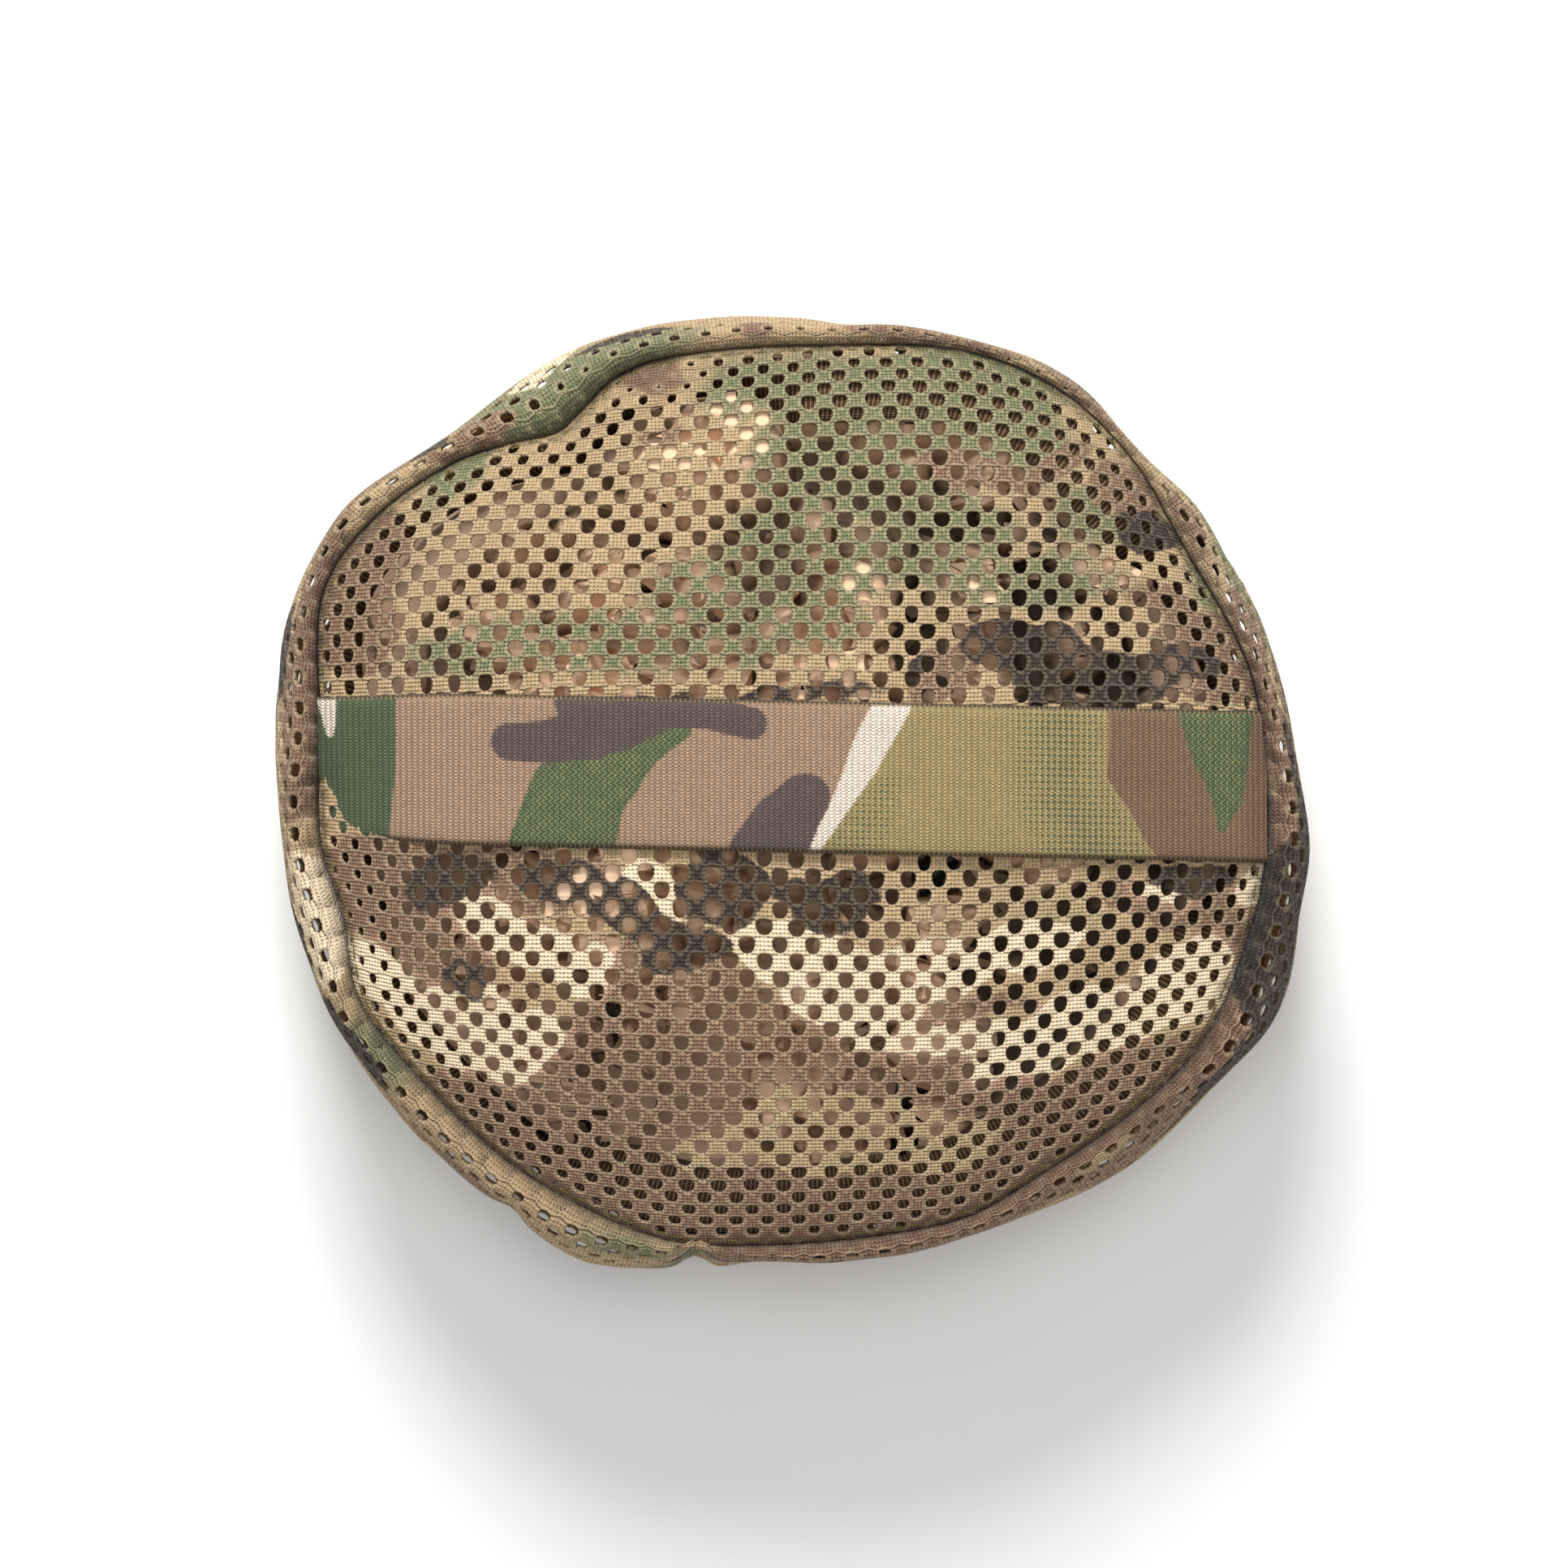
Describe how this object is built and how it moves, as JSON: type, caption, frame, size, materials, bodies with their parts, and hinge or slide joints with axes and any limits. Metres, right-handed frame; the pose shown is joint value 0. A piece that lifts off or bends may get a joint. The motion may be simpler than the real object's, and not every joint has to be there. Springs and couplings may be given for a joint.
{
  "type": "mesh face-mask pouch",
  "caption": "Round gusseted camouflage mesh pouch with a webbing strap across its front panel and a zip in its side wall, filled with crumpled kraft paper.",
  "frame": {"origin": "centre of the object's box in plan, on the surface that the back panel lies on", "axes": "+Z out of the front panel, +Y to the top edge, where the zip is, +X to the right as seen from the front, along the strap"},
  "size_m": [0.1769, 0.163, 0.0663],
  "materials": {
    "mesh_fabric": "matte",
    "webbing": "matte",
    "grosgrain": "matte",
    "thread": "satin",
    "zip_tape": "matte",
    "zip_coil": "satin",
    "zip_metal": "satin",
    "kraft_paper": "matte"
  },
  "bodies": {
    "pouch": {"front_panel": "mesh_fabric", "gusset": "mesh_fabric", "back_panel": "mesh_fabric", "front_seam_binding": "grosgrain", "back_seam_binding": "grosgrain", "gusset_join_tape": "grosgrain", "front_seam_stitch": "thread", "back_seam_stitch": "thread", "front_strap": "webbing", "zip_tape_upper": "zip_tape", "zip_tape_lower": "zip_tape", "zip_coil_upper": "zip_coil", "zip_coil_lower": "zip_coil", "zip_top_stop_upper": "zip_metal", "zip_top_stop_lower": "zip_metal", "zip_bottom_stop": "zip_metal", "zip_window_stitch": "thread", "paper_wad_left": "kraft_paper", "paper_wad_middle": "kraft_paper", "paper_wad_right": "kraft_paper"},
    "slider": {"zip_slider": "zip_metal"},
    "pull": {"zip_pull_tab": "zip_metal"}
  },
  "joints": [
    {"name": "slider_travel", "type": "hinge", "parent": "pouch", "child": "slider", "pos_m": [-0.001, -0.019, 0.018], "axis": [0, 0, -1], "range_deg": [0, 55.4]},
    {"name": "pull_tab_swing", "type": "hinge", "parent": "slider", "child": "pull", "pos_m": [-0.04667, 0.06799, 0.018], "axis": [0, 0, 1], "range_deg": [0, 165]}
  ]
}
